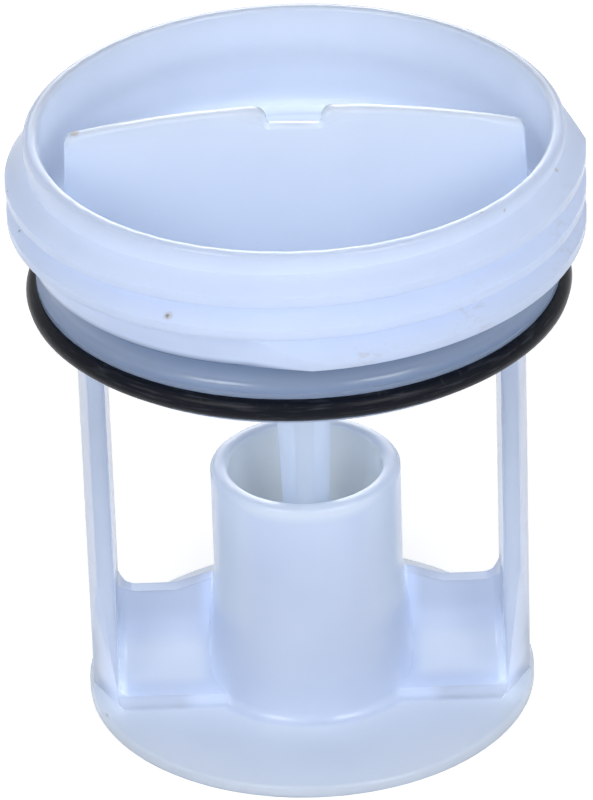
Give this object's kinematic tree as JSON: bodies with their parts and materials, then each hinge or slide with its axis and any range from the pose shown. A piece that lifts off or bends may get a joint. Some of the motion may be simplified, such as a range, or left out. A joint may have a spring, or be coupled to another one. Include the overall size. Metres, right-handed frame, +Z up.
{
  "type": "washing machine pump filter",
  "caption": "Screw-in drain pump filter: threaded cap with a grip plate, rubber seal ring, side legs, scooped base with an open tube and a hanging cross rod.",
  "frame": {"origin": "middle of the base disc's underside, on the axis of the cap and tube", "axes": "+Z up along the axis, from the base disc to the cap; the legs stand at +X and -X, and the grip plate lies in the XZ plane"},
  "size_m": [0.0752, 0.0752, 0.0866],
  "materials": {
    "white_plastic": "satin, slightly translucent",
    "black_rubber": "smooth, dull sheen"
  },
  "bodies": {
    "root": {"filter_body": "white_plastic", "seal_ring": "black_rubber"}
  },
  "joints": []
}
